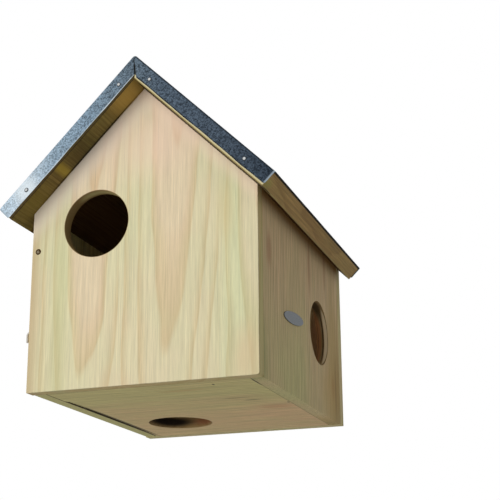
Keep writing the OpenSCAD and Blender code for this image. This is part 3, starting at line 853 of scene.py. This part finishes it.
def folding_tree():
    """Folds the flat blank: first both long edges down, then the whole over the ridge."""
    tree, get = modifier_tree(
        "fold the roof sheet", "Half width", "Edge radius", "Ridge radius", "Pitch", "Middle", "Ridge height",
        "Dents", "Thickness")
    flat = add(tree, SPLIT, add(tree, "GeometryNodeInputPosition")).outputs

    # Across the sheet: flat, then round the edge fold, then straight down
    side = add(tree, MATH, flat["Y"], operation="SIGN")
    reach = add(tree, MATH, flat["Y"], operation="ABSOLUTE")
    past = add(tree, MATH, reach, get["Half width"], operation="SUBTRACT")
    past = add(tree, MATH, past, 0.0, operation="MAXIMUM")
    sine, cosine, hang = bend(tree, past, get["Edge radius"], math.pi / 2)
    rise = add(tree, MATH, 1.0, cosine, operation="SUBTRACT")
    width = add(tree, MATH, reach, get["Half width"], operation="MINIMUM")
    width = add(tree, MATH, sine, get["Edge radius"], width, operation="MULTIPLY_ADD")
    y = add(tree, MATH, width, side, get["Middle"], operation="MULTIPLY_ADD")
    drop = add(tree, MATH, rise, get["Edge radius"], hang, operation="MULTIPLY_ADD")

    # Dents: the sheet is never quite flat
    dent = add(tree, NOISE, named={"Scale": 14.0, "Detail": 1.0})
    dent = add(tree, MATH, dent, get["Dents"], operation="MULTIPLY")
    lift = add(tree, MATH, dent, drop, operation="SUBTRACT")

    # Along the sheet: round the ridge fold, then straight down the slope
    hand = add(tree, MATH, flat["X"], operation="SIGN")
    run = add(tree, MATH, flat["X"], operation="ABSOLUTE")
    sine, cosine, slope = bend(tree, run, get["Ridge radius"], get["Pitch"])
    swing = add(tree, MATH, get["Ridge radius"], lift, operation="ADD")
    x = add(tree, MATH, swing, sine, operation="MULTIPLY")
    x = add(tree, MATH, slope, cosine, x, operation="MULTIPLY_ADD")
    x = add(tree, MATH, x, hand, operation="MULTIPLY")
    z = add(tree, MATH, swing, cosine, get["Ridge height"], operation="MULTIPLY_ADD")
    fall = add(tree, MATH, slope, sine, operation="MULTIPLY")
    z = add(tree, MATH, z, fall, operation="SUBTRACT")
    spot = add(tree, JOIN, x, y, z)
    folded = add(tree, "GeometryNodeSetPosition", get["Geometry"], named={"Position": spot})

    # The sheet's thickness, outwards and inwards from its middle
    half = add(tree, MATH, get["Thickness"], 0.5, operation="MULTIPLY")
    inward = add(tree, MATH, half, -1.0, operation="MULTIPLY")
    inner = add(tree, "GeometryNodeInputNormal")
    inner = add(tree, VECTOR_MATH, inner, named={"Scale": inward}, operation="SCALE")
    inner = add(tree, "GeometryNodeSetPosition", folded, named={"Offset": inner})
    outer = add(tree, "GeometryNodeExtrudeMesh", inner, named={
        "Offset Scale": get["Thickness"], "Individual": False})
    closed = add(tree, "GeometryNodeJoinGeometry", outer.outputs["Mesh"])
    tree.links.new(add(tree, "GeometryNodeFlipFaces", inner).outputs[0], closed.inputs[0])
    closed = add(tree, "GeometryNodeMergeByDistance", closed, named={"Distance": 0.01 * MM})
    closed = add(tree, "GeometryNodeRealizeInstances", closed)
    closed = add(tree, "GeometryNodeSetMaterial", closed, named={"Material": get["Metal"]})
    add(tree, "NodeGroupOutput", closed)
    return tree


cover = made_by(folding_tree(), blank_mesh(), {
    "Half width": HALF_FLAT, "Edge radius": EDGE_R, "Ridge radius": MID_RIDGE_R, "Pitch": PITCH,
    "Middle": ROOF_MIDDLE_Y, "Ridge height": APEX_H + (MID_LIFT - MID_RIDGE_R) / RUN,
    "Dents": 0.35 * MM, "Thickness": SHEET_T, "Metal": SHEET_METAL})
finished(cover, "folded_roof_sheet", SHEET_METAL, "box", "galvanised_sheet", "roof_cover")


# Nails, hook and plate

def nail_tree():
    """Round nails with domed heads, one on each point, driven in against the point's own direction."""
    tree, get = modifier_tree(
        "nails on points", "Head radius", "Head height", "Shank radius", "Length", "Tilt")
    top = add(tree, JOIN, 0.0, 0.0, get["Head height"])
    axis = add(tree, "GeometryNodeCurvePrimitiveLine", named={"End": top})
    axis = add(tree, "GeometryNodeResampleCurve", axis, named={"Count": 9})
    along = add(tree, "GeometryNodeSplineParameter").outputs["Factor"]
    bulge = add(tree, MATH, along, along, operation="MULTIPLY")
    bulge = add(tree, MATH, 1.0, bulge, operation="SUBTRACT")
    bulge = add(tree, MATH, bulge, operation="SQRT")
    bulge = add(tree, MATH, bulge, get["Head radius"], operation="MULTIPLY")
    ring = add(tree, "GeometryNodeCurvePrimitiveCircle", named={"Resolution": 20, "Radius": 1.0})
    head = add(tree, "GeometryNodeCurveToMesh", axis, ring, named={"Scale": bulge, "Fill Caps": True})
    shank = add(tree, "GeometryNodeMeshCylinder", named={
        "Vertices": 12, "Radius": get["Shank radius"], "Depth": get["Length"]}).outputs["Mesh"]
    sunk = add(tree, MATH, get["Length"], -0.5, operation="MULTIPLY")
    shank = add(tree, "GeometryNodeTransform", shank, named={"Translation": add(tree, JOIN, 0.0, 0.0, sunk)})
    nail = add(tree, "GeometryNodeJoinGeometry", head)
    tree.links.new(shank.outputs[0], nail.inputs[0])
    aim = add(tree, "GeometryNodeInputNamedAttribute", "out", data_type="FLOAT_VECTOR")
    lean = add(tree, "FunctionNodeRandomValue", (-1.0, -1.0, -1.0), (1.0, 1.0, 1.0), named={"Seed": 5},
               data_type="FLOAT_VECTOR")
    tilt = add(tree, JOIN, get["Tilt"], get["Tilt"], get["Tilt"])
    aim = add(tree, VECTOR_MATH, lean, tilt, aim, operation="MULTIPLY_ADD")
    turn = add(tree, "FunctionNodeAlignRotationToVector", named={"Vector": aim}, axis="Z")
    placed = add(tree, "GeometryNodeInstanceOnPoints", get["Geometry"], named={
        "Instance": nail, "Rotation": turn})
    placed = add(tree, "GeometryNodeRealizeInstances", placed)
    placed = add(tree, "GeometryNodeMergeByDistance", placed, named={"Distance": 0.001 * MM})
    placed = add(tree, "GeometryNodeSetShadeSmooth", placed)
    placed = add(tree, "GeometryNodeSetMaterial", placed, named={"Material": get["Metal"]})
    add(tree, "NodeGroupOutput", placed)
    return tree


def points_mesh(points, direction):
    """Loose points that carry the direction in which a nail's head faces."""
    mesh = bpy.data.meshes.new("points")
    mesh.from_pydata(points, [], [])
    out = mesh.attributes.new("out", "FLOAT_VECTOR", "POINT")
    for item in out.data:
        item.vector = direction
    return mesh


NAILS = nail_tree()
NAIL = {"Head radius": NAIL_HEAD_R, "Head height": NAIL_HEAD_H, "Shank radius": NAIL_SHANK_R,
        "Length": NAIL_LEN, "Tilt": 0.03, "Metal": NAIL_STEEL}
for end, y, direction in (("front", VERGE_Y - SHEET_GAP - SHEET_T, -Y),
                          ("back", REAR_Y + SHEET_GAP + SHEET_T, Y)):
    for word in SLOPES:
        nails = made_by(NAILS, points_mesh([nail_place(word, u, y) for u in NAIL_U], direction), NAIL)
        finished(nails, f"{end}_nails_{word}", NAIL_STEEL, "box", "nail_steel", f"cover_nails_{end}_{word}")

# The screws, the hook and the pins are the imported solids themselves
for metal, *names in (
        (SCREW_STEEL, "pivot_screw_front", "pivot_screw_back"),
        (HOOK_STEEL, "door_latch_hook"),
        (PIN_STEEL, "front_to_side_pins", "front_to_floor_pins", "back_to_side_pins", "back_to_floor_pins",
         "side_to_floor_pins", "roof_pins_left", "roof_pins_right", "ridge_pins")):
    for name in names:
        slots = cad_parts[name].data.materials
        slots.clear()
        slots.append(metal)

# A bare oval plate on the right side, fixed flat to the board
PLATE_T = 1.2 * MM
oval = ring_of((-31 * MM, 91 * MM), 37.5 * MM, 7.3 * MM, steps=64, tilt=math.radians(6.5))
plate = board_mesh([oval], PLATE_T, facing(Y, Z, (HALF_W + PLATE_T / 2, 0, 0)), ease=0.35 * MM, segments=2)
finished(plate, "oval_plate", PLATE_METAL, "box", None)


# Stage, light and camera

def white_where_seen(tree, seen, unseen):
    """Mixes two shaders: what the camera and mirrors see, and what lights the object."""
    path = add(tree, "ShaderNodeLightPath").outputs
    factor = add(tree, MATH, path["Is Camera Ray"], path["Is Glossy Ray"], operation="MAXIMUM")
    factor = add(tree, MATH, factor, path["Is Transmission Ray"], operation="MAXIMUM")
    return add(tree, "ShaderNodeMixShader", factor, unseen, seen)


WHITE = (1.0, 1.0, 1.0, 1.0)
AMBIENT = 0.33
world = bpy.data.worlds.new("studio")
bpy.context.scene.world = world
tree = emptied(world)
seen = add(tree, "ShaderNodeBackground", WHITE, 1.0)
unseen = add(tree, "ShaderNodeBackground", WHITE, AMBIENT)
add(tree, "ShaderNodeOutputWorld", white_where_seen(tree, seen, unseen))

# The paper turns white some way off, so that it has no visible end
FLOOR_Z, FLOOR_R = -0.7, 14.0
paper = bpy.data.materials.new("studio paper")
tree = emptied(paper)
pale = add(tree, "ShaderNodeBsdfDiffuse", (0.9, 0.9, 0.9, 1.0))
glow = add(tree, "ShaderNodeEmission", WHITE, 1.0)
far = add(tree, "ShaderNodeTexCoord").outputs["Object"]
far = add(tree, VECTOR_MATH, far, (0.0, 0.0, FLOOR_Z), operation="DISTANCE").outputs["Value"]
far = add(tree, RANGE, far, 0.8, 4.0, 0.6, 1.0, interpolation_type="SMOOTHSTEP")
seen = add(tree, "ShaderNodeMixShader", far, pale, glow)
unseen = add(tree, "ShaderNodeBsdfDiffuse", (0.66, 0.66, 0.66, 1.0))
add(tree, "ShaderNodeOutputMaterial", white_where_seen(tree, seen, unseen))

floor_mesh = bpy.data.meshes.new("studio_floor")
floor_corners = [(x * FLOOR_R, y * FLOOR_R, FLOOR_Z) for x, y in ((-1, -1), (1, -1), (1, 1), (-1, 1))]
floor_mesh.from_pydata(floor_corners, [], [(0, 1, 2, 3)])
floor_mesh.materials.append(paper)
in_scene("studio_floor", floor_mesh)

# A large soft light in front, to the left and a little above
BOX_MIDDLE = Vector((0, 0, 0.19))
KEY_FROM = Vector((-0.45, -0.87, 0.18)).normalized()
KEY_DISTANCE, KEY_SIZE, KEY_LEVEL = 3.0, 3.0, 0.85
lamp = bpy.data.lights.new("soft_light", "AREA")
lamp.shape = "SQUARE"
lamp.size = KEY_SIZE
lamp.energy = KEY_LEVEL * (math.pi * KEY_DISTANCE) ** 2
soft_light = in_scene("soft_light", lamp)
soft_light.location = BOX_MIDDLE + KEY_FROM * KEY_DISTANCE
soft_light.rotation_euler = KEY_FROM.to_track_quat("Z", "Y").to_euler()
soft_light.visible_camera = False
soft_light.visible_glossy = False

# The camera, found by fitting the box's corners and holes to the photograph
CAMERA_AT = Vector((0.51988, -1.28359, -0.26091))
YAW, TILT, ROLL = math.radians(-19.159), math.radians(16.346), math.radians(-0.450)
LENS_MM = 84.19
SHIFT_UP = 0.085     # the photograph's frame lies above its lens's axis, which keeps uprights nearly parallel
ahead = Vector((math.sin(YAW), math.cos(YAW), 0))
right = Vector((math.cos(YAW), -math.sin(YAW), 0))
view = ahead * math.cos(TILT) + Z * math.sin(TILT)
up = Z * math.cos(TILT) - ahead * math.sin(TILT)
rolled_right = right * math.cos(ROLL) + up * math.sin(ROLL)
rolled_up = up * math.cos(ROLL) - right * math.sin(ROLL)
camera = bpy.data.cameras.new("camera")
camera.lens = LENS_MM
camera.sensor_width = 36
camera.shift_y = SHIFT_UP
camera.clip_start, camera.clip_end = 0.05, 60
camera_object = in_scene("camera", camera)
aimed = Matrix((rolled_right, rolled_up, -view)).transposed().to_4x4()
aimed.translation = CAMERA_AT
camera_object.matrix_world = aimed
bpy.context.scene.camera = camera_object

bpy.context.scene.view_settings.view_transform = "Standard"
